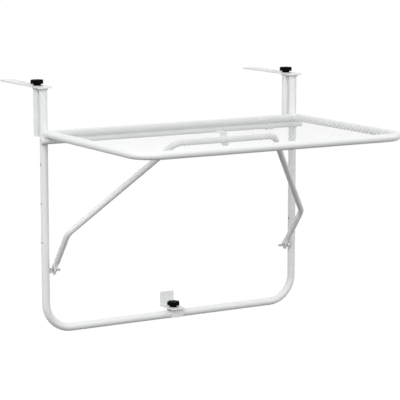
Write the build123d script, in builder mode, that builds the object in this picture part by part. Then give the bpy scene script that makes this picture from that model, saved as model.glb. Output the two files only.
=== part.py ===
from build123d import *
import os
from math import cos, radians, sin

# Folding balcony table that hangs on a railing.
# Millimetres. X runs along the railing, -Y faces the user, Z is up.
# The origin is the top front edge of the railing, midway between the legs: the bracket posts bear on
# the plane Y = 0, and the hook plates lie on the plane Z = 0.

# Hanging frame: one bent tube
LEG_R = 8.0
LEG_WALL = 1.5
LEG_SPACING = 585.0
LEG_BEND_R = 55.0
HANG_DEPTH = 486.0          # railing top to the bottom bar's axis
WELD_FLAT = 0.4             # the hinge bar is let this far into the legs
PLATE_T = 3.0
LEG_X = LEG_SPACING / 2
POST_R = 8.0
POST_BEHIND = 27.0          # leg axis to the axis of the post behind it
LEG_Y = -(POST_R + POST_BEHIND)
BAR_Z = -HANG_DEPTH
SPARE_HOLE_R = 2.75
SPARE_HOLE_TOP = -151.5
SPARE_HOLE_PITCH = 78.7
SPARE_HOLES = 3
PLUG_LIP = 2.0
PLUG_DEPTH = 12.0

# Hinge bar across the front of the legs
HINGE_R = 6.0
HINGE_WALL = 1.2
HINGE_LENGTH = 608.0
HINGE_Y = LEG_Y - LEG_R - HINGE_R + WELD_FLAT
HINGE_Z = -104.0
RUNNING_GAP = 0.05

# Hanger brackets, hook plates and their clamp bolts
POST_WALL = 1.5
BRACKET_DROP = 98.0         # railing top to the foot of a post
SEAT_W = 18.0
SEAT_CORNER = 5.0
SEAT_FRONT = LEG_Y - SEAT_W / 2
HOOK_W = 30.0
HOOK_L = 196.0
HOOK_BACK = 145.0           # rear end of a hook plate behind the posts
HOOK_CORNER = 7.0
CLAMP_Y = -POST_R
BOLT_R = 3.0
BOLT_HEAD_R = 6.0
BOLT_HEAD_H = 2.4
BOLT_NECK = 6.0             # square neck in the seat
SLOT_W = 7.0
HOOK_IN = 90.0              # travel of a hook plate towards the user
HOOK_OUT = 12.0             # travel away from the user

# Clamping knobs
KNOB_R = 13.0
KNOB_LOBES = 7
KNOB_LOBE_R = 3.6
KNOB_HEAD_H = 7.8
KNOB_HUB_R = 7.3
KNOB_HUB_H = 3.2
KNOB_GAP = 0.2
INSERT_R = 4.6
INSERT_H = 8.0

# Standoff on the bottom bar
STANDOFF_W = 31.0
STANDOFF_T = 2.5
STANDOFF_FRONT = -21.0      # from the bar's axis
STANDOFF_BACK = 29.5
STANDOFF_TOP = 42.5
STANDOFF_CORNER = 3.0
STANDOFF_IN = 11.0          # travel towards the user
STANDOFF_OUT = 9.0          # travel towards the railing
SADDLE_W = 28.0
SADDLE_H = 19.0
SADDLE_T = 2.0
SADDLE_SHIFT = 4.0
SADDLE_RISE = 2.5           # top of the bar to the inside of the saddle

# Table top
TABLE_W = 600.0
TABLE_D = 400.0
RIM_R = 8.0
RIM_WALL = 1.2
RIM_FRONT_R = 44.0          # bend radius at the tube's axis
RIM_GAP = 1.0               # back of the rim to the front of the legs
RIM_Z = HINGE_Z + 14.3
RIM_BACK_Y = LEG_Y - LEG_R - RIM_GAP - RIM_R
RIM_FRONT_Y = RIM_BACK_Y - TABLE_D + 2 * RIM_R
RIM_X = TABLE_W / 2 - RIM_R
MESH_T = 1.5
MESH_RISE = 7.5             # rim axis to the top of the sheet
MESH_INSET = 4.2            # rim axis to the sheet's edge
MESH_COLUMNS = 20
MESH_ROWS = 13
MESH_STRAND = 3.4           # left between the tips of two diamonds
MESH_BORDER = 6.0
STRAP_X = 225.0
STRAP_W = 20.0
STRAP_T = 1.8
STRAP_OPEN = 18.0           # degrees each side of the back rail

# Brace: a bent tube that turns on the leg pins
BRACE_R = 6.0
BRACE_WALL = 1.2
BRACE_LEAN = 37.85          # degrees forward of upright
BRACE_LENGTH = 339.5        # pin to the axis of the cross part
BRACE_ELBOW = 106.0         # pin to the lower bend
BRACE_X = 274.4
BRACE_CROSS_X = 112.6
BRACE_ELBOW_R = 30.0
BRACE_TOP_R = 24.0
PIVOT_Z = -366.0
TONGUE_T = 3.0
TONGUE_W = 16.0
TONGUE_L = 12.0             # pin to the start of the blend
TONGUE_TIP = 6.5            # pin to the square end
TONGUE_CORNER = 2.2
TONGUE_BLEND = 14.0
STUD_R = 2.5
STUD_END_X = 260.0
STUD_ROOT_X = 289.0
COLLAR_R = 5.3
COLLAR_T = 3.4
COLLAR_BARREL_R = 4.4
COLLAR_BARREL_L = 4.0
WASHER_R = 5.6
WASHER_T = 1.0
WASHER_GAP = 0.25

# Keeper for the brace's cross part
KEEPER_W = 14.0
KEEPER_T = 2.5
KEEPER_R = 8.4              # to the middle of its thickness
KEEPER_WRAP = 78.0          # degrees that the hook runs under the cross part
KEEPER_LIP = 4.0
KEEPER_LIP_DROP = 40.0      # degrees
KEEPER_FOOT = 24.0

CROSS_Y = LEG_Y - BRACE_LENGTH * sin(radians(BRACE_LEAN))
CROSS_Z = PIVOT_Z + BRACE_LENGTH * cos(radians(BRACE_LEAN))
SIDES = {"left": -1, "right": 1}
ALONG_X = (0, 90, 0)

os.makedirs("parts", exist_ok=True)


def save(part, name):
    part.label = name
    export_step(part, f"parts/{name}.step")


def start_plane(line):
    """Plane at the start of a path, square to it."""
    return Plane(origin=line @ 0, z_dir=line % 0)


def seat_pair(z):
    """The two leg axes at one height."""
    return [(-LEG_X, LEG_Y, z), (LEG_X, LEG_Y, z)]


# Frame tube, with seats for the welded pieces and its cross holes
with BuildPart() as frame_tube:
    with BuildLine() as frame_path:
        FilletPolyline(
            (-LEG_X, LEG_Y, -PLATE_T),
            (-LEG_X, LEG_Y, BAR_Z),
            (LEG_X, LEG_Y, BAR_Z),
            (LEG_X, LEG_Y, -PLATE_T),
            radius=LEG_BEND_R,
        )
    with BuildSketch(start_plane(frame_path.line)):
        Circle(LEG_R)
        Circle(LEG_R - LEG_WALL, mode=Mode.SUBTRACT)
    sweep()
    with Locations((0, HINGE_Y, HINGE_Z)):
        Cylinder(HINGE_R, HINGE_LENGTH, rotation=ALONG_X, mode=Mode.SUBTRACT)
    for row in range(SPARE_HOLES):
        with Locations(seat_pair(SPARE_HOLE_TOP - row * SPARE_HOLE_PITCH)):
            Cylinder(SPARE_HOLE_R, 3 * LEG_R, rotation=ALONG_X, mode=Mode.SUBTRACT)
    for side in SIDES.values():
        with Locations((side * (LEG_X - LEG_R), LEG_Y, PIVOT_Z)):
            Cylinder(COLLAR_BARREL_R, LEG_R, rotation=ALONG_X, mode=Mode.SUBTRACT)
    with Locations((0, LEG_Y, BAR_Z + LEG_R)):
        Cylinder(BOLT_R, LEG_R, mode=Mode.SUBTRACT)
save(frame_tube.part, "frame_tube")

# Hinge bar and the plugs in its ends
with BuildPart() as hinge_bar:
    with Locations((0, HINGE_Y, HINGE_Z)):
        Cylinder(HINGE_R, HINGE_LENGTH, rotation=ALONG_X)
        Cylinder(HINGE_R - HINGE_WALL, HINGE_LENGTH, rotation=ALONG_X, mode=Mode.SUBTRACT)
save(hinge_bar.part, "hinge_bar")

with BuildPart() as hinge_bar_plugs:
    for side in SIDES.values():
        end = Plane(origin=(side * HINGE_LENGTH / 2, HINGE_Y, HINGE_Z), z_dir=(side, 0, 0))
        with BuildSketch(end):
            Circle(HINGE_R - HINGE_WALL)
        extrude(amount=-PLUG_DEPTH)
        with BuildSketch(end):
            Circle(HINGE_R)
        extrude(amount=PLUG_LIP / 2)
save(hinge_bar_plugs.part, "hinge_bar_plugs")

# Hangers: a short post behind each leg, a seat plate over both tube tops, and a coach bolt
for name, side in SIDES.items():
    with BuildPart() as bracket_post:
        with BuildSketch(Plane.XY.offset(-BRACKET_DROP)):
            with Locations((side * LEG_X, CLAMP_Y)):
                Circle(POST_R)
                Circle(POST_R - POST_WALL, mode=Mode.SUBTRACT)
        extrude(amount=BRACKET_DROP - PLATE_T)
    save(bracket_post.part, f"bracket_post_{name}")

    with BuildPart() as bracket_seat:
        with BuildSketch(Plane.XY.offset(-PLATE_T)):
            with Locations((side * LEG_X, SEAT_FRONT / 2)):
                RectangleRounded(SEAT_W, -SEAT_FRONT, SEAT_CORNER)
            with Locations((side * LEG_X, CLAMP_Y)):
                Rectangle(BOLT_NECK, BOLT_NECK, mode=Mode.SUBTRACT)
        extrude(amount=PLATE_T)
    save(bracket_seat.part, f"bracket_seat_{name}")

    with BuildPart() as clamp_bolt:
        with BuildSketch(Plane.XY.offset(-PLATE_T)):
            with Locations((side * LEG_X, CLAMP_Y)):
                Circle(BOLT_HEAD_R)
        extrude(amount=-BOLT_HEAD_H, taper=20)
        with BuildSketch(Plane.XY.offset(-PLATE_T)):
            with Locations((side * LEG_X, CLAMP_Y)):
                Rectangle(BOLT_NECK, BOLT_NECK)
        extrude(amount=PLATE_T)
        with BuildSketch(Plane.XY):
            with Locations((side * LEG_X, CLAMP_Y)):
                Circle(BOLT_R)
        extrude(amount=PLATE_T + KNOB_GAP + INSERT_H - 1)
    save(clamp_bolt.part, f"clamp_bolt_{name}")

    # Hook plate, slotted for the bolt over its whole travel
    with BuildPart() as hook_plate:
        with BuildSketch(Plane.XY):
            with Locations((side * LEG_X, HOOK_BACK - HOOK_L / 2)):
                RectangleRounded(HOOK_W, HOOK_L, HOOK_CORNER)
            with Locations((side * LEG_X, CLAMP_Y + (HOOK_IN - HOOK_OUT) / 2)):
                SlotOverall(HOOK_IN + HOOK_OUT + SLOT_W + 1, SLOT_W, rotation=90, mode=Mode.SUBTRACT)
        extrude(amount=PLATE_T)
    save(hook_plate.part, f"hook_plate_{name}")


def make_knob(x, y, z, name):
    """Lobed knob with a tapered hub and a threaded brass insert, standing on height z."""
    with BuildPart() as knob:
        with BuildSketch(Plane((x, y, z))):
            Circle(KNOB_HUB_R)
        with BuildSketch(Plane((x, y, z + KNOB_HUB_H))):
            Circle(KNOB_HUB_R + 0.8)
        loft()
        with BuildSketch(Plane((x, y, z + KNOB_HUB_H))):
            Circle(KNOB_R - KNOB_LOBE_R / 2)
            with PolarLocations(KNOB_R - KNOB_LOBE_R, KNOB_LOBES):
                Circle(KNOB_LOBE_R)
        extrude(amount=KNOB_HEAD_H)
        fillet(knob.faces().sort_by(Axis.Z)[-1].edges(), 1.2)
        with Locations((x, y, z + INSERT_H / 2)):
            Cylinder(INSERT_R, INSERT_H, mode=Mode.SUBTRACT)
    save(knob.part, name)

    with BuildPart() as insert:
        with BuildSketch(Plane((x, y, z))):
            RegularPolygon(INSERT_R, 6, rotation=30)
            Circle(BOLT_R + RUNNING_GAP, mode=Mode.SUBTRACT)
        extrude(amount=INSERT_H)
    save(insert.part, f"{name}_insert")


for name, side in SIDES.items():
    make_knob(side * LEG_X, CLAMP_Y, PLATE_T + KNOB_GAP, f"knob_{name}")

# Standoff: saddle on the bottom bar, stud, sliding bent strip and its knob
SADDLE_TOP = LEG_R + SADDLE_RISE + SADDLE_T
ARM_TOP = SADDLE_TOP + STANDOFF_T
with BuildPart() as standoff_saddle:
    with BuildSketch(Plane.YZ.offset(SADDLE_SHIFT - SADDLE_W / 2)):
        with Locations((LEG_Y, BAR_Z + SADDLE_TOP)):
            Rectangle(2 * (LEG_R + SADDLE_T), SADDLE_H, align=(Align.CENTER, Align.MAX))
        with Locations((LEG_Y, BAR_Z + SADDLE_TOP - SADDLE_T)):
            Rectangle(2 * LEG_R, SADDLE_H, align=(Align.CENTER, Align.MAX), mode=Mode.SUBTRACT)
    extrude(amount=SADDLE_W)
    fillet(standoff_saddle.edges().filter_by(Axis.X).group_by(Axis.Z)[-1], 1.5)
    with Locations((0, LEG_Y, BAR_Z + SADDLE_TOP)):
        Cylinder(BOLT_R, 3 * SADDLE_T, mode=Mode.SUBTRACT)
save(standoff_saddle.part, "standoff_saddle")

with BuildPart() as standoff_stud:
    stud_foot = LEG_R - 2 * LEG_WALL
    stud_top = ARM_TOP + KNOB_GAP + INSERT_H - 1
    with Locations((0, LEG_Y, BAR_Z + (stud_foot + stud_top) / 2)):
        Cylinder(BOLT_R, stud_top - stud_foot)
save(standoff_stud.part, "standoff_stud")

with BuildPart() as standoff_bracket:
    arm_l = STANDOFF_BACK - STANDOFF_FRONT
    arm_mid = LEG_Y + (STANDOFF_FRONT + STANDOFF_BACK) / 2
    with Locations((0, arm_mid, BAR_Z + ARM_TOP - STANDOFF_T / 2)):
        Box(STANDOFF_W, arm_l, STANDOFF_T)
    pad_h = STANDOFF_TOP - SADDLE_TOP
    with Locations((0, LEG_Y + STANDOFF_BACK - STANDOFF_T / 2, BAR_Z + SADDLE_TOP + pad_h / 2)):
        Box(STANDOFF_W, STANDOFF_T, pad_h)
    fillet(standoff_bracket.edges().filter_by(Axis.Z).group_by(Axis.Y)[0], STANDOFF_CORNER)
    fillet(standoff_bracket.edges().filter_by(Axis.Y).group_by(Axis.Z)[-1], STANDOFF_CORNER / 3)
    with BuildSketch(Plane.XY.offset(BAR_Z + ARM_TOP)):
        with Locations((0, LEG_Y + (STANDOFF_IN - STANDOFF_OUT) / 2)):
            SlotOverall(STANDOFF_IN + STANDOFF_OUT + SLOT_W + 1, SLOT_W, rotation=90)
    extrude(amount=-STANDOFF_T, mode=Mode.SUBTRACT)
save(standoff_bracket.part, "standoff_bracket")

make_knob(0, LEG_Y, BAR_Z + ARM_TOP + KNOB_GAP, "standoff_knob")

# Pins for the brace: threaded collars in the legs, studs, push-on washers
with BuildPart() as pivot_collars:
    for side in SIDES.values():
        inner = Plane(origin=(side * (LEG_X - LEG_R), LEG_Y, PIVOT_Z), z_dir=(-side, 0, 0))
        with BuildSketch(inner):
            Circle(COLLAR_R)
        extrude(amount=COLLAR_T)
        with BuildSketch(inner):
            Circle(COLLAR_BARREL_R)
        extrude(amount=-COLLAR_BARREL_L)
        with Locations(inner.location):
            Cylinder(STUD_R, 4 * COLLAR_BARREL_L, mode=Mode.SUBTRACT)
save(pivot_collars.part, "pivot_collars")

with BuildPart() as pivot_studs:
    for side in SIDES.values():
        with Locations((side * (STUD_ROOT_X + STUD_END_X) / 2, LEG_Y, PIVOT_Z)):
            Cylinder(STUD_R, STUD_ROOT_X - STUD_END_X, rotation=ALONG_X)
    chamfer(pivot_studs.edges().group_by(lambda edge: round(abs(edge.center().X), 1))[0], 0.6)
save(pivot_studs.part, "pivot_studs")

with BuildPart() as retaining_washers:
    for side in SIDES.values():
        for face in (-1, 1):
            offset_x = face * (TONGUE_T / 2 + WASHER_GAP + WASHER_T / 2)
            with Locations((side * BRACE_X + offset_x, LEG_Y, PIVOT_Z)):
                Cylinder(WASHER_R, WASHER_T, rotation=ALONG_X)
    for side in SIDES.values():
        with Locations((side * BRACE_X, LEG_Y, PIVOT_Z)):
            Cylinder(STUD_R, 4 * TONGUE_T, rotation=ALONG_X, mode=Mode.SUBTRACT)
save(retaining_washers.part, "retaining_washers")

# Table rim: a closed tube loop, mitred at the back corners and bent at the front ones
with BuildPart() as rim_tube:
    with BuildLine() as rim_path:
        FilletPolyline(
            (0, RIM_BACK_Y, RIM_Z),
            (-RIM_X, RIM_BACK_Y, RIM_Z),
            (-RIM_X, RIM_FRONT_Y, RIM_Z),
            (RIM_X, RIM_FRONT_Y, RIM_Z),
            (RIM_X, RIM_BACK_Y, RIM_Z),
            radius=[0, 0, RIM_FRONT_R, RIM_FRONT_R, 0],
            close=True,
        )
    with BuildSketch(start_plane(rim_path.line)):
        Circle(RIM_R)
        Circle(RIM_R - RIM_WALL, mode=Mode.SUBTRACT)
    sweep(transition=Transition.RIGHT)
save(rim_tube.part, "rim_tube")

# Expanded metal panel: staggered diamonds inside a plain border, welded on the rim just under its crest
PANEL_X = 2 * (RIM_X - MESH_INSET)
PANEL_Y = RIM_BACK_Y - RIM_FRONT_Y - 2 * MESH_INSET
PANEL_MID_Y = (RIM_BACK_Y + RIM_FRONT_Y) / 2
PANEL_UNDER = RIM_Z + MESH_RISE - MESH_T
PITCH_X = (PANEL_X - 2 * MESH_BORDER) / MESH_COLUMNS
PITCH_Y = 2 * (PANEL_Y - MESH_BORDER) / (MESH_ROWS + 1)
GAP_X = PITCH_X - MESH_STRAND
GAP_Y = GAP_X * PITCH_Y / PITCH_X


def diamond_centres():
    """Centres of the gaps: every second row is shifted by half a pitch."""
    centres = []
    for row in range(MESH_ROWS):
        in_row = MESH_COLUMNS - 1 + row % 2
        y = (row - (MESH_ROWS - 1) / 2) * PITCH_Y / 2
        centres += [((column - (in_row - 1) / 2) * PITCH_X, PANEL_MID_Y + y) for column in range(in_row)]
    return centres


with BuildPart() as mesh_panel:
    with BuildSketch(Plane.XY.offset(PANEL_UNDER)) as panel_face:
        with Locations((0, PANEL_MID_Y)):
            Rectangle(PANEL_X, PANEL_Y)
        fillet(panel_face.vertices().group_by(Axis.Y)[0], RIM_FRONT_R - MESH_INSET)
        with Locations(diamond_centres()):
            Polygon(
                (-GAP_X / 2, 0),
                (0, -GAP_Y / 2),
                (GAP_X / 2, 0),
                (0, GAP_Y / 2),
                mode=Mode.SUBTRACT,
            )
    extrude(amount=MESH_T)
    add(rim_tube.part, mode=Mode.SUBTRACT)
save(mesh_panel.part, "mesh_panel")

# Hinge straps: bands round the hinge bar, open towards the back rail that their ends are welded to
RIM_AT = Vector(RIM_BACK_Y - HINGE_Y, RIM_Z - HINGE_Z)
for name, side in SIDES.items():
    with BuildPart() as hinge_strap:
        with BuildSketch(Plane.YZ.offset(side * STRAP_X - STRAP_W / 2)):
            with Locations((HINGE_Y, HINGE_Z)):
                Circle(HINGE_R + RUNNING_GAP + STRAP_T)
                Circle(HINGE_R + RUNNING_GAP, mode=Mode.SUBTRACT)
                Polygon(
                    (0, 0),
                    RIM_AT.rotate(Axis.Z, STRAP_OPEN),
                    RIM_AT.rotate(Axis.Z, -STRAP_OPEN),
                    align=None,
                    mode=Mode.SUBTRACT,
                )
            with Locations((RIM_BACK_Y, RIM_Z)):
                Circle(RIM_R, mode=Mode.SUBTRACT)
        extrude(amount=STRAP_W)
    save(hinge_strap.part, f"hinge_strap_{name}")

# Keeper: foot plate under the mesh, with a hook in front of it that runs behind and below the cross part
with BuildPart() as brace_keeper:
    foot_under = PANEL_UNDER - KEEPER_T
    with BuildSketch(Plane.YZ.offset(-KEEPER_W / 2)):
        with BuildLine() as hook_line:
            Line((CROSS_Y + KEEPER_R, foot_under + KEEPER_T / 2), (CROSS_Y + KEEPER_R, CROSS_Z))
            wrap = CenterArc((CROSS_Y, CROSS_Z), KEEPER_R, 0, -KEEPER_WRAP)
            tip = wrap @ 1
            lip_turn = radians(180 + KEEPER_LIP_DROP)
            Line(tip, tip + Vector(KEEPER_LIP * cos(lip_turn), KEEPER_LIP * sin(lip_turn)))
        trace(hook_line.line, line_width=KEEPER_T)
    extrude(amount=KEEPER_W)
    with Locations((0, CROSS_Y + KEEPER_R + KEEPER_FOOT / 2 - KEEPER_T / 2, foot_under + KEEPER_T / 2)):
        Box(KEEPER_W, KEEPER_FOOT, KEEPER_T)
save(brace_keeper.part, "brace_keeper")

# Brace: drawn in its own leaning plane, with flattened ends on the pins
UP_BRACE = (0, -sin(radians(BRACE_LEAN)), cos(radians(BRACE_LEAN)))
BRACE_PLANE = Plane(
    origin=(0, LEG_Y, PIVOT_Z),
    x_dir=(1, 0, 0),
    z_dir=(0, -cos(radians(BRACE_LEAN)), -sin(radians(BRACE_LEAN))),
)
TUBE_START = TONGUE_L + TONGUE_BLEND
with BuildPart() as brace_tube:
    with BuildLine(BRACE_PLANE) as brace_path:
        FilletPolyline(
            (-BRACE_X, TUBE_START),
            (-BRACE_X, BRACE_ELBOW),
            (-BRACE_CROSS_X, BRACE_LENGTH),
            (BRACE_CROSS_X, BRACE_LENGTH),
            (BRACE_X, BRACE_ELBOW),
            (BRACE_X, TUBE_START),
            radius=[BRACE_ELBOW_R, BRACE_TOP_R, BRACE_TOP_R, BRACE_ELBOW_R],
        )
    with BuildSketch(start_plane(brace_path.line)):
        Circle(BRACE_R)
        Circle(BRACE_R - BRACE_WALL, mode=Mode.SUBTRACT)
    sweep()
    for side in SIDES.values():
        foot = BRACE_PLANE.from_local_coords((side * BRACE_X, 0, 0))
        with BuildSketch(Plane(foot, x_dir=(1, 0, 0), z_dir=UP_BRACE).offset(TUBE_START)):
            Circle(BRACE_R)
        with BuildSketch(Plane(foot, x_dir=(1, 0, 0), z_dir=UP_BRACE).offset(TONGUE_L)):
            RectangleRounded(TONGUE_T, TONGUE_W, TONGUE_T * 0.45)
        loft()
        with BuildSketch(Plane(foot, x_dir=UP_BRACE, z_dir=(1, 0, 0)).offset(-TONGUE_T / 2)) as tongue:
            with Locations(((TONGUE_L - TONGUE_TIP) / 2, 0)):
                Rectangle(TONGUE_L + TONGUE_TIP, TONGUE_W)
            fillet(tongue.vertices().group_by(Axis.X)[0], TONGUE_CORNER)
            Circle(STUD_R + RUNNING_GAP, mode=Mode.SUBTRACT)
        extrude(amount=TONGUE_T)
save(brace_tube.part, "brace_tube")
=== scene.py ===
"""Looks of a folding balcony table: finishes, expanded metal top, weld beads and a white studio."""

import logging
import math
from dataclasses import dataclass, field
from enum import Enum
from typing import Any, Iterable, Sequence

import bpy
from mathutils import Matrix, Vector


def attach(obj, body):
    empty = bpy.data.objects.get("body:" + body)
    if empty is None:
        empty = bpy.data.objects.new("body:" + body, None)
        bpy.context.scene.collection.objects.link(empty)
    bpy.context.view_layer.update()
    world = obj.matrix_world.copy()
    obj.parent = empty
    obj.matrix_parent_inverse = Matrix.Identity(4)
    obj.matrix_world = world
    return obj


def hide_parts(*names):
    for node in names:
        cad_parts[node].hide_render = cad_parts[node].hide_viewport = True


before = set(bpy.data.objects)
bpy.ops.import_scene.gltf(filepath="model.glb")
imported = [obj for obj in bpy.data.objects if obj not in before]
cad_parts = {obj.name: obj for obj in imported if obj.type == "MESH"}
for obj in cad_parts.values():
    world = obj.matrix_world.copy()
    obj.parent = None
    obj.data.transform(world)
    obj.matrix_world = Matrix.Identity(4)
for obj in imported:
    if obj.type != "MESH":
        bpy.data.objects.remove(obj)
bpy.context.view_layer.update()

LOG = logging.getLogger("balcony_table")
MM = 0.001
SENSOR_MM = 36.0
CLIP_END_M = 200.0
BUMP_STRENGTH = 0.6
GRAIN_OCTAVES = 2.0
# Blender's wave texture repeats once in 2 pi over this many units at a scale of 1.
WAVE_FACTOR = 20.0
EDGE_SEGMENTS = 2
EDGE_ANGLE_DEG = 50.0
# A bead's ripples swell by this share of its radius, and its ends narrow to this share by this power.
BEAD_SWELL = 0.08
BEAD_TIP = 0.05
BEAD_TAPER = 8
STEPS_PER_RIPPLE = 4
MIN_BEAD_STEPS = 6
Point = tuple[float, float, float]


class Slot(Enum):
    """Material slots of the part's record."""

    WHITE_COAT = "white_coat"
    WHITE_MESH = "white_mesh"
    ZINC_STEEL = "zinc_steel"
    WHITE_PLASTIC = "white_plastic"
    BLACK_PLASTIC = "black_plastic"
    BRASS = "brass"


class Body(Enum):
    """Moving bodies of the part that dressing pieces ride on."""

    FRAME = "frame"
    TABLE = "table"


class Side(Enum):
    """The two legs, as the sign of their X."""

    LEFT = -1
    RIGHT = 1


def linear(hex_colour: str) -> tuple[float, float, float, float]:
    """Turns an sRGB hex colour into linear RGBA.

    Args:
        hex_colour: Colour such as "#F2F2F0".

    Returns:
        Linear red, green, blue and an alpha of 1.
    """
    values = [int(hex_colour[i : i + 2], 16) / 255 for i in (1, 3, 5)]
    red, green, blue = (v / 12.92 if v <= 0.04045 else ((v + 0.055) / 1.055) ** 2.4 for v in values)
    return red, green, blue, 1.0


def add_node(
    tree: bpy.types.NodeTree,
    kind: str,
    settings: dict[str, Any] | None = None,
    values: dict[str, Any] | None = None,
    links: dict[str, bpy.types.NodeSocket] | None = None,
) -> bpy.types.Node:
    """Adds one shader node with its settings and links.

    Args:
        tree: Node tree that gets the node.
        kind: Blender's type name of the node.
        settings: Attributes of the node itself.
        values: Constants for its input sockets, by socket name.
        links: Output sockets that feed its input sockets, by socket name.

    Returns:
        The new node.
    """
    node = tree.nodes.new(kind)
    for name, value in (settings or {}).items():
        setattr(node, name, value)
    for name, value in (values or {}).items():
        node.inputs[name].default_value = value
    for name, socket in (links or {}).items():
        tree.links.new(socket, node.inputs[name])
    return node


@dataclass(frozen=True)
class Finish:
    """A surface finish: base colour, gloss and a fine relief with a real size.

    Attributes:
        name: Material and process in plain words.
        slot: Record slot that the finish belongs to; not used.
        colour: Base colour as sRGB hex.
        roughness: Mean roughness of the surface.
        roughness_spread: How far the roughness wanders about its mean.
        metallic: 1 for a bare metal.
        ior: Index of refraction of a coat or a plastic.
        grain_mm: Size of one bump of the relief.
        relief_mm: Height of the relief.
    """

    name: str
    slot: Slot
    colour: str
    roughness: float
    roughness_spread: float = 0.04
    metallic: float = 0.0
    ior: float = 1.5
    grain_mm: float = 2.0
    relief_mm: float = 0.02

    def relief(self, tree: bpy.types.NodeTree, place: bpy.types.NodeSocket) -> bpy.types.NodeSocket:
        """Height pattern of the surface.

        Args:
            tree: Node tree of the material.
            place: Object coordinates in metres.

        Returns:
            Socket with heights from 0 to 1.
        """
        scale = 1 / (self.grain_mm * MM)
        noise = add_node(
            tree,
            "ShaderNodeTexNoise",
            values={"Scale": scale, "Detail": GRAIN_OCTAVES},
            links={"Vector": place},
        )
        return noise.outputs["Fac"]

    def material(self) -> bpy.types.Material:
        """Builds the Blender material, or finds the one already built.

        Returns:
            The material of this finish.
        """
        found = bpy.data.materials.get(self.name)
        if found:
            return found
        made = bpy.data.materials.new(self.name)
        made.use_nodes = True
        tree = made.node_tree
        tree.nodes.clear()
        place = add_node(tree, "ShaderNodeTexCoord").outputs["Object"]
        height = self.relief(tree, place)
        gloss = add_node(
            tree,
            "ShaderNodeMapRange",
            values={
                "To Min": self.roughness - self.roughness_spread,
                "To Max": self.roughness + self.roughness_spread,
            },
            links={"Value": height},
        )
        bump = add_node(
            tree,
            "ShaderNodeBump",
            values={"Strength": BUMP_STRENGTH, "Distance": self.relief_mm * MM},
            links={"Height": height},
        )
        shader = add_node(
            tree,
            "ShaderNodeBsdfPrincipled",
            values={"Base Color": linear(self.colour), "Metallic": self.metallic, "IOR": self.ior},
            links={"Roughness": gloss.outputs["Result"], "Normal": bump.outputs["Normal"]},
        )
        add_node(tree, "ShaderNodeOutputMaterial", links={"Surface": shader.outputs["BSDF"]})
        return made


@dataclass(frozen=True)
class Thread(Finish):
    """A bare metal finish with the ridges of a rolled screw thread along X.

    Attributes:
        pitch_mm: Distance from one ridge to the next.
    """

    pitch_mm: float = 1.0

    def relief(self, tree: bpy.types.NodeTree, place: bpy.types.NodeSocket) -> bpy.types.NodeSocket:
        """Ridges across X, one per thread pitch.

        Args:
            tree: Node tree of the material.
            place: Object coordinates in metres.

        Returns:
            Socket with heights from 0 to 1.
        """
        wave = add_node(
            tree,
            "ShaderNodeTexWave",
            settings={"bands_direction": "X", "wave_profile": "TRI"},
            values={"Scale": 2 * math.pi / (WAVE_FACTOR * self.pitch_mm * MM)},
            links={"Vector": place},
        )
        return wave.outputs["Fac"]


# Polyester powder coat, sprayed and baked on steel: bright white, half gloss, faint orange peel.
POWDER_COAT = Finish(
    "powder_coat_baked_white", Slot.WHITE_COAT, "#EEF0EF", roughness=0.36, grain_mm=3.0, relief_mm=0.004
)
# The same coat on slit and stretched sheet: thicker at the knuckles, so a little softer in gloss.
MESH_COAT = Finish(
    "powder_coat_on_expanded_steel",
    Slot.WHITE_MESH,
    "#EFF1F0",
    roughness=0.42,
    grain_mm=1.5,
    relief_mm=0.004,
)
# Zinc plated steel, clear passivated: pale grey metal with a dull sheen.
ZINC = Finish(
    "zinc_plated_steel",
    Slot.ZINC_STEEL,
    "#BFC1C2",
    roughness=0.34,
    metallic=1.0,
    grain_mm=0.8,
    relief_mm=0.005,
)
# The same plating on a rolled M6 thread.
ZINC_THREAD = Thread(
    "zinc_plated_thread", Slot.ZINC_STEEL, "#B4B6B7", roughness=0.34, metallic=1.0, relief_mm=0.5
)
# Injection moulded polyamide: near black, with a fine spark-eroded grain that takes most of the gloss away.
BLACK_NYLON = Finish(
    "polyamide_moulded_black",
    Slot.BLACK_PLASTIC,
    "#060606",
    roughness=0.55,
    ior=1.1,
    grain_mm=0.6,
    relief_mm=0.02,
)
# Moulded polyethylene plug: soft white with a waxy sheen.
WHITE_PLUG = Finish("polyethylene_moulded_white", Slot.WHITE_PLASTIC, "#E9E9E5", roughness=0.48, grain_mm=1.2)
# Turned brass bush: yellow metal with tool marks.
BRASS_BUSH = Finish(
    "brass_turned", Slot.BRASS, "#C8A561", roughness=0.3, metallic=1.0, grain_mm=0.4, relief_mm=0.005
)


def dress(node: str, finish: Finish, edge_mm: float = 0.0) -> bpy.types.Object:
    """Gives a CAD node its finish.

    Args:
        node: Name of the CAD node.
        finish: Finish that it gets.
        edge_mm: Radius that the coating gives to sharp sheet edges, or 0.

    Returns:
        The node's object.
    """
    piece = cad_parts[node]
    piece.data.materials.clear()
    piece.data.materials.append(finish.material())
    if edge_mm:
        edge = piece.modifiers.new("coated_edge", "BEVEL")
        edge.width = edge_mm * MM
        edge.segments = EDGE_SEGMENTS
        edge.limit_method = "ANGLE"
        edge.angle_limit = math.radians(EDGE_ANGLE_DEG)
        edge.harden_normals = True
    LOG.info("dressed %s in %s", node, finish.name)
    return piece


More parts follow.
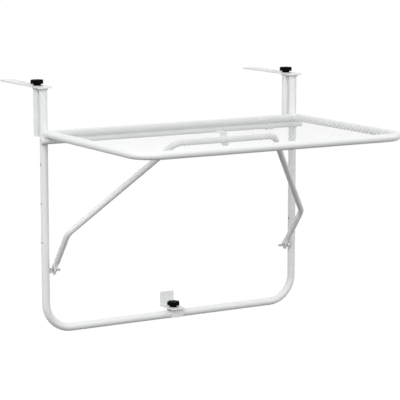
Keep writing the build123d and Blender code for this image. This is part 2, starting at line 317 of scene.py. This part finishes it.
def add_piece(
    name: str,
    vertices: Sequence[Point],
    faces: Sequence[Sequence[int]],
    finish: Finish,
    body: Body,
    smooth: bool = True,
) -> bpy.types.Object:
    """Makes a mesh piece that rides on a body.

    Args:
        name: Name of the piece.
        vertices: Points in millimetres, in the part's frame.
        faces: Corner indices of each face.
        finish: Finish of the piece.
        body: Body that carries it.
        smooth: Whether the faces are shaded smooth.

    Returns:
        The new object.
    """
    mesh = bpy.data.meshes.new(name)
    mesh.from_pydata([tuple(c * MM for c in v) for v in vertices], [], faces)
    mesh.polygons.foreach_set("use_smooth", [smooth] * len(mesh.polygons))
    mesh.materials.append(finish.material())
    mesh.update()
    piece = bpy.data.objects.new(name, mesh)
    bpy.context.scene.collection.objects.link(piece)
    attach(piece, body.value)
    LOG.info("built %s: %d faces on %s", name, len(faces), body.value)
    return piece


@dataclass
class WeldBeads:
    """A set of short ripple beads that become one piece.

    Attributes:
        name: Name of the piece.
        body: Body that carries the beads.
        radius: Half width of a bead, in millimetres.
        ripple: Length of one ripple, in millimetres.
        ring: Points round a bead.
        vertices: Points of the beads laid so far, in millimetres.
        faces: Corner indices of their faces.
    """

    name: str
    body: Body
    radius: float = 1.5
    ripple: float = 1.6
    ring: int = 8
    vertices: list[Point] = field(default_factory=list)
    faces: list[tuple[int, ...]] = field(default_factory=list)

    def lay(self, start: Point, end: Point) -> None:
        """Adds one straight bead.

        Args:
            start: First point of its centre line, in millimetres.
            end: Last point of its centre line.
        """
        head, tail = Vector(start), Vector(end)
        along = (tail - head).normalized()
        side = along.orthogonal().normalized()
        up = along.cross(side)
        length = (tail - head).length
        steps = max(MIN_BEAD_STEPS, round(STEPS_PER_RIPPLE * length / self.ripple))
        base = len(self.vertices)
        for step in range(steps + 1):
            share = step / steps
            swell = 1 - BEAD_SWELL + BEAD_SWELL * math.cos(2 * math.pi * share * length / self.ripple)
            taper = math.sqrt(max(0.0, 1 - (2 * share - 1) ** BEAD_TAPER))
            radius = self.radius * (BEAD_TIP + (1 - BEAD_TIP) * taper) * swell
            centre = head.lerp(tail, share)
            for corner in range(self.ring):
                turn = 2 * math.pi * corner / self.ring
                self.vertices.append(tuple(centre + radius * (math.cos(turn) * side + math.sin(turn) * up)))
        for step in range(steps):
            for corner in range(self.ring):
                here, following = base + step * self.ring, base + (step + 1) * self.ring
                after = (corner + 1) % self.ring
                self.faces.append((here + corner, here + after, following + after, following + corner))
        self.faces.append(tuple(base + corner for corner in reversed(range(self.ring))))
        self.faces.append(tuple(base + steps * self.ring + corner for corner in range(self.ring)))

    def circle(self, centre: Point, radius: float) -> None:
        """Adds one bead round an upright tube.

        Args:
            centre: Centre of the bead's circle, in millimetres.
            radius: Radius of its centre line.
        """
        steps = STEPS_PER_RIPPLE * round(2 * math.pi * radius / self.ripple)
        base = len(self.vertices)
        for step in range(steps):
            turn = 2 * math.pi * step / steps
            ripple = 2 * math.pi * step / STEPS_PER_RIPPLE
            swell = self.radius * (1 - BEAD_SWELL + BEAD_SWELL * math.cos(ripple))
            for corner in range(self.ring):
                tilt = 2 * math.pi * corner / self.ring
                reach = radius + swell * math.cos(tilt)
                x = centre[0] + reach * math.cos(turn)
                y = centre[1] + reach * math.sin(turn)
                self.vertices.append((x, y, centre[2] + swell * math.sin(tilt)))
        for step in range(steps):
            here, following = base + step * self.ring, base + (step + 1) % steps * self.ring
            for corner in range(self.ring):
                after = (corner + 1) % self.ring
                self.faces.append((here + corner, following + corner, following + after, here + after))

    def build(self) -> bpy.types.Object:
        """Makes the beads into one coated piece.

        Returns:
            The new object.
        """
        return add_piece(self.name, self.vertices, self.faces, POWDER_COAT, self.body)


@dataclass
class HangingFrame:
    """Bent tube with its brackets, hinge bar and pins. Sizes in millimetres.

    Attributes:
        leg_x: Half the distance between the legs' axes.
        leg_y: Y of the legs' axes.
        leg_radius: Outer radius of the legs and the posts.
        post_y: Y of the posts' axes.
        seat_under: Z of the seats' underside.
        hinge_y: Y of the hinge bar's axis.
        hinge_z: Z of the hinge bar's axis.
        edge: Radius that the coating gives to the seats' edges.
        ring_bead: Half width of the beads under the seats.
        ring_sink: Depth of those beads' centre line inside the tube.
        seam_sink: Depth of the hinge bar's beads inside the leg.
        seam_rise: Height of those beads above and below the bar's axis.
        seam_half: Half the length of those beads.
    """

    leg_x: float = 292.5
    leg_y: float = -35.0
    leg_radius: float = 8.0
    post_y: float = -8.0
    seat_under: float = -3.0
    hinge_y: float = -48.6
    hinge_z: float = -104.0
    edge: float = 0.4
    ring_bead: float = 0.9
    ring_sink: float = 0.2
    seam_sink: float = 0.1
    seam_rise: float = 3.4
    seam_half: float = 4.5

    def dress(self) -> None:
        """Gives the frame's nodes their finishes."""
        for node in ("frame_tube", "hinge_bar"):
            dress(node, POWDER_COAT)
        for side in ("left", "right"):
            dress(f"bracket_post_{side}", POWDER_COAT)
            dress(f"bracket_seat_{side}", POWDER_COAT, edge_mm=self.edge)
            dress(f"clamp_bolt_{side}", ZINC)
        dress("hinge_bar_plugs", WHITE_PLUG)
        for node in ("pivot_collars", "retaining_washers"):
            dress(node, ZINC)
        dress("pivot_studs", ZINC_THREAD)

    def weld(self) -> None:
        """Lays the seams between the legs, the posts, their seats and the hinge bar."""
        seams = WeldBeads("frame_welds", Body.FRAME)
        rings = WeldBeads("seat_welds", Body.FRAME, radius=self.ring_bead)
        for leg in Side:
            x = leg.value * self.leg_x
            for tube_y in (self.leg_y, self.post_y):
                rings.circle((x, tube_y, self.seat_under), self.leg_radius - self.ring_sink)
            bar_y = self.leg_y - self.leg_radius + self.seam_sink
            for rise in (-self.seam_rise, self.seam_rise):
                z = self.hinge_z + rise
                seams.lay((x - self.seam_half, bar_y, z), (x + self.seam_half, bar_y, z))
        seams.build()
        rings.build()


@dataclass
class Clamps:
    """Hook plates with their knobs.

    Attributes:
        edge: Radius that the coating gives to the plates' edges, in millimetres.
    """

    edge: float = 0.4

    def dress(self) -> None:
        """Gives the clamps' nodes their finishes."""
        for side in ("left", "right"):
            dress(f"hook_plate_{side}", POWDER_COAT, edge_mm=self.edge)
            dress(f"knob_{side}", BLACK_NYLON)
            dress(f"knob_{side}_insert", BRASS_BUSH)


@dataclass
class Standoff:
    """Sliding foot on the bottom bar, with its saddle and knob.

    Attributes:
        edge: Radius that the coating gives to the strips' edges, in millimetres.
    """

    edge: float = 0.35

    def dress(self) -> None:
        """Gives the standoff's nodes their finishes."""
        for node in ("standoff_saddle", "standoff_bracket"):
            dress(node, POWDER_COAT, edge_mm=self.edge)
        dress("standoff_stud", ZINC)
        dress("standoff_knob", BLACK_NYLON)
        dress("standoff_knob_insert", BRASS_BUSH)


@dataclass
class ExpandedMetal:
    """Slit and stretched sheet inside the rim. Sizes in millimetres.

    Attributes:
        rim_x: Half the distance between the rim's side tubes, axis to axis.
        back: Y of the rim's back tube axis.
        front: Y of the rim's front tube axis.
        level: Z of the sheet's middle, just under the rim's crest.
        bend: Bend radius of the rim's front corners, at its axis.
        reach: How far the sheet's edge may run past the rim's axis.
        pitch_x: Diamond pitch along X.
        pitch_y: Diamond pitch along Y.
        strand: Width of a strand.
        gauge: Thickness of the sheet.
        lean: Height that a strand's slant gives to its edges.
    """

    rim_x: float = 292.0
    back: float = -52.0
    front: float = -436.0
    level: float = -82.95
    bend: float = 44.0
    reach: float = 0.5
    pitch_x: float = 11.2
    pitch_y: float = 12.6
    strand: float = 1.1
    gauge: float = 0.18
    lean: float = 0.05

    def beyond(self, x: float, y: float) -> float:
        """How far a point lies outside the loop of the rim's axis.

        Args:
            x: X of the point.
            y: Y of the point.

        Returns:
            Millimetres, negative inside the loop.
        """
        over_x = abs(x) - (self.rim_x - self.bend)
        over_y = self.front + self.bend - y
        corner = math.hypot(max(over_x, 0), max(over_y, 0)) + min(max(over_x, over_y), 0)
        return max(corner - self.bend, y - self.back)

    def centres(self) -> Iterable[tuple[float, float]]:
        """Finds the diamonds that end in the rim, every second row shifted by half a pitch.

        Returns:
            X and Y of each diamond's centre, row by row.
        """
        half_x, half_y = self.pitch_x / 2, self.pitch_y / 2
        first = self.back - half_y
        columns = int(self.rim_x / self.pitch_x) + 1
        for row in range(int((first - self.front) / half_y) + 1):
            y = first - row * half_y
            for column in range(-columns, columns + 1):
                x = (column + row % 2 / 2) * self.pitch_x
                tips = ((x - half_x, y), (x + half_x, y), (x, y - half_y), (x, y + half_y))
                if max(self.beyond(*tip) for tip in tips) < self.reach:
                    yield x, y

    def build(self) -> bpy.types.Object:
        """Builds the sheet, which stands for the CAD panel with its coarser gaps.

        Returns:
            The new object.
        """
        half_x, half_y = self.pitch_x / 2, self.pitch_y / 2
        slope = math.hypot(half_x, half_y)
        gap_x = half_x - self.strand / 2 * slope / half_y
        gap_y = half_y - self.strand / 2 * slope / half_x
        outer = [(half_x, 0, 0), (0, half_y, 0), (-half_x, 0, 0), (0, -half_y, 0)]
        inner = [(gap_x, 0, 0), (0, gap_y, -self.lean), (-gap_x, 0, 0), (0, -gap_y, self.lean)]
        sides = len(outer)
        vertices: list[Point] = []
        faces: list[tuple[int, ...]] = []
        for x, y in self.centres():
            base = len(vertices)
            for face_z in (self.gauge / 2, -self.gauge / 2):
                vertices += [(x + dx, y + dy, self.level + dz + face_z) for dx, dy, dz in outer + inner]
            top, hole, under, hole_under = (base + loop * sides for loop in range(4))
            for corner in range(sides):
                after = (corner + 1) % sides
                faces.append((top + corner, top + after, hole + after, hole + corner))
                faces.append((under + after, under + corner, hole_under + corner, hole_under + after))
                faces.append((hole + corner, hole + after, hole_under + after, hole_under + corner))
        sheet = add_piece("expanded_metal", vertices, faces, MESH_COAT, Body.TABLE, smooth=False)
        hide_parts("mesh_panel")
        return sheet


@dataclass
class TableTop:
    """Rim with its expanded metal, hinge straps and brace keeper. Sizes in millimetres.

    Attributes:
        sheet: Expanded metal inside the rim.
        rim_z: Z of the rim's axis.
        strap_x: Half the distance between the straps' middles.
        strap_width: Width of a strap.
        edge: Radius that the coating gives to the edges of straps and keeper.
        seam_bead: Half width of the beads on the straps.
        seam_inset: Distance of a bead's end from the strap's side.
        seam_reach: Distance of the beads from the hinge bar's axis.
        seam_turn: Degrees between a bead and the line from hinge bar to rim.
    """

    sheet: ExpandedMetal = field(default_factory=ExpandedMetal)
    rim_z: float = -89.7
    strap_x: float = 225.0
    strap_width: float = 20.0
    edge: float = 0.25
    seam_bead: float = 1.2
    seam_inset: float = 1.5
    seam_reach: float = 8.2
    seam_turn: float = 26.0

    def dress(self) -> None:
        """Gives the table's nodes their finishes."""
        dress("mesh_panel", MESH_COAT)
        dress("rim_tube", POWDER_COAT)
        for node in ("hinge_strap_left", "hinge_strap_right", "brace_keeper"):
            dress(node, POWDER_COAT, edge_mm=self.edge)

    def weld(self, hinge: HangingFrame) -> None:
        """Lays the seams between the straps and the back rail.

        Args:
            hinge: Frame whose hinge bar the straps wrap.
        """
        seams = WeldBeads("strap_welds", Body.TABLE, radius=self.seam_bead)
        towards = math.atan2(self.rim_z - hinge.hinge_z, self.sheet.back - hinge.hinge_y)
        for side in Side:
            left = side.value * self.strap_x - self.strap_width / 2 + self.seam_inset
            right = left + self.strap_width - 2 * self.seam_inset
            for turn in (-self.seam_turn, self.seam_turn):
                angle = towards + math.radians(turn)
                y = hinge.hinge_y + self.seam_reach * math.cos(angle)
                z = hinge.hinge_z + self.seam_reach * math.sin(angle)
                seams.lay((left, y, z), (right, y, z))
        seams.build()


@dataclass
class Brace:
    """Bent tube that props the table."""

    def dress(self) -> None:
        """Gives the brace its finish."""
        dress("brace_tube", POWDER_COAT)


@dataclass(frozen=True)
class Softbox:
    """One square lamp. Sizes in metres.

    Attributes:
        name: Name of the lamp.
        place: Where it hangs.
        size: Side of its square face.
        power: Power in watts.
    """

    name: str
    place: Point
    size: float
    power: float

    def hang(self, target: Point) -> None:
        """Hangs the lamp so that it faces a point.

        Args:
            target: Point that it faces.
        """
        light = bpy.data.lights.new(self.name, "AREA")
        light.shape = "SQUARE"
        light.size = self.size
        light.energy = self.power
        lamp = bpy.data.objects.new(self.name, light)
        lamp.location = self.place
        towards = Vector(target) - Vector(self.place)
        lamp.rotation_euler = towards.to_track_quat("-Z", "Y").to_euler()
        bpy.context.scene.collection.objects.link(lamp)


# The large one overhead, one at each side and one behind the camera.
SOFTBOXES = (
    Softbox("overhead_softbox", place=(0.0, -0.2, 2.4), size=2.4, power=2.0),
    Softbox("left_softbox", place=(-2.3, -1.0, 1.3), size=1.6, power=32.0),
    Softbox("right_softbox", place=(2.3, -1.6, 0.8), size=1.6, power=16.0),
    Softbox("front_softbox", place=(-0.9, -3.2, 0.9), size=1.6, power=26.0),
)


@dataclass
class Studio:
    """White floor, soft light and the photograph's viewpoint. Sizes in metres.

    Attributes:
        floor_z: Height of the floor, a railing's height below the hangers.
        floor_size: Side of the floor.
        floor_colour: Paint of the floor as sRGB hex.
        floor_lift: Light that the floor adds for the camera alone, so that it reads as white.
        sky_low: Strength of the surroundings at the horizon.
        sky_high: Strength of the surroundings overhead.
        middle: Point of the table that the softboxes face.
        eye: Place of the camera.
        azimuth: Turn of the camera about Z, in degrees.
        pitch: Degrees that it looks down.
        lens: Focal length in millimetres.
    """

    floor_z: float = -1.0
    floor_size: float = 80.0
    floor_colour: str = "#484848"
    floor_lift: float = 0.97
    sky_low: float = 0.86
    sky_high: float = 0.50
    middle: Point = (0.0, -0.15, -0.25)
    eye: Point = (-1.7753, -3.1702, 0.3324)
    azimuth: float = -30.4
    pitch: float = 9.124
    lens: float = 159.06

    def floor(self) -> None:
        """Lays the pale floor, which takes the shadow and reads as white to the camera."""
        half = self.floor_size / 2
        corners = [(-half, -half), (half, -half), (half, half), (-half, half)]
        mesh = bpy.data.meshes.new("studio_floor")
        mesh.from_pydata([(x, y, self.floor_z) for x, y in corners], [], [(0, 1, 2, 3)])
        paint = bpy.data.materials.new("matt_white_floor_paint")
        paint.use_nodes = True
        tree = paint.node_tree
        tree.nodes.clear()
        matt = add_node(tree, "ShaderNodeBsdfDiffuse", values={"Color": linear(self.floor_colour)})
        lift = add_node(
            tree,
            "ShaderNodeMath",
            settings={"operation": "MULTIPLY"},
            links={"Value": self.seen(tree)},
        )
        lift.inputs[1].default_value = self.floor_lift
        glow = add_node(tree, "ShaderNodeEmission", links={"Strength": lift.outputs["Value"]})
        both = add_node(tree, "ShaderNodeAddShader")
        tree.links.new(matt.outputs["BSDF"], both.inputs[0])
        tree.links.new(glow.outputs["Emission"], both.inputs[1])
        add_node(tree, "ShaderNodeOutputMaterial", links={"Surface": both.outputs["Shader"]})
        mesh.materials.append(paint)
        floor = bpy.data.objects.new("studio_floor", mesh)
        bpy.context.scene.collection.objects.link(floor)

    def seen(self, tree: bpy.types.NodeTree) -> bpy.types.NodeSocket:
        """Tells the rays that show the background from those that light the object.

        Args:
            tree: Node tree of the floor or the world.

        Returns:
            Socket that is 1 on camera rays and on the rays that mirrors and glass pass on.
        """
        path = add_node(tree, "ShaderNodeLightPath")
        total = path.outputs["Is Camera Ray"]
        for ray in ("Is Glossy Ray", "Is Transmission Ray"):
            either = add_node(tree, "ShaderNodeMath", settings={"operation": "MAXIMUM"})
            tree.links.new(total, either.inputs[0])
            tree.links.new(path.outputs[ray], either.inputs[1])
            total = either.outputs["Value"]
        return total

    def world(self) -> None:
        """Sets white surroundings: full white to the camera, softer towards the top for the object."""
        sky = bpy.data.worlds.new("white_studio")
        sky.use_nodes = True
        tree = sky.node_tree
        tree.nodes.clear()
        place = add_node(tree, "ShaderNodeTexCoord").outputs["Generated"]
        height = add_node(tree, "ShaderNodeSeparateXYZ", links={"Vector": place}).outputs["Z"]
        light = add_node(
            tree,
            "ShaderNodeMapRange",
            values={"To Min": self.sky_low, "To Max": self.sky_high},
            links={"Value": height},
        )
        strength = add_node(
            tree,
            "ShaderNodeMapRange",
            values={"To Max": 1.0},
            links={"Value": self.seen(tree), "To Min": light.outputs["Result"]},
        )
        white = add_node(tree, "ShaderNodeBackground", links={"Strength": strength.outputs["Result"]})
        white.inputs["Color"].default_value = (1.0, 1.0, 1.0, 1.0)
        add_node(tree, "ShaderNodeOutputWorld", links={"Surface": white.outputs["Background"]})
        bpy.context.scene.world = sky

    def light(self) -> None:
        """Hangs the softboxes."""
        for softbox in SOFTBOXES:
            softbox.hang(self.middle)

    def camera(self) -> None:
        """Sets the camera at the photograph's viewpoint."""
        data = bpy.data.cameras.new("photo_camera")
        data.sensor_width = SENSOR_MM
        data.lens = self.lens
        data.clip_end = CLIP_END_M
        camera = bpy.data.objects.new("photo_camera", data)
        camera.location = self.eye
        camera.rotation_euler = (math.radians(90 - self.pitch), 0.0, math.radians(self.azimuth))
        bpy.context.scene.collection.objects.link(camera)
        bpy.context.scene.camera = camera

    def build(self) -> None:
        """Sets up the whole studio."""
        self.floor()
        self.world()
        self.light()
        self.camera()
        bpy.context.scene.view_settings.view_transform = "Standard"
        LOG.info("studio ready")


def write_sizes() -> None:
    """Logs one fixed line; no sizes are computed or written."""
    LOG.info("sizes written")


def main() -> None:
    """Builds and dresses the table piece by piece."""
    logging.basicConfig(level=logging.INFO, format="%(name)s: %(message)s")
    hanging_frame = HangingFrame()
    hanging_frame.dress()
    hanging_frame.weld()
    Clamps().dress()
    Standoff().dress()
    table = TableTop()
    table.dress()
    table.sheet.build()
    table.weld(hanging_frame)
    Brace().dress()
    Studio().build()
    write_sizes()


if __name__ == "__main__":
    main()
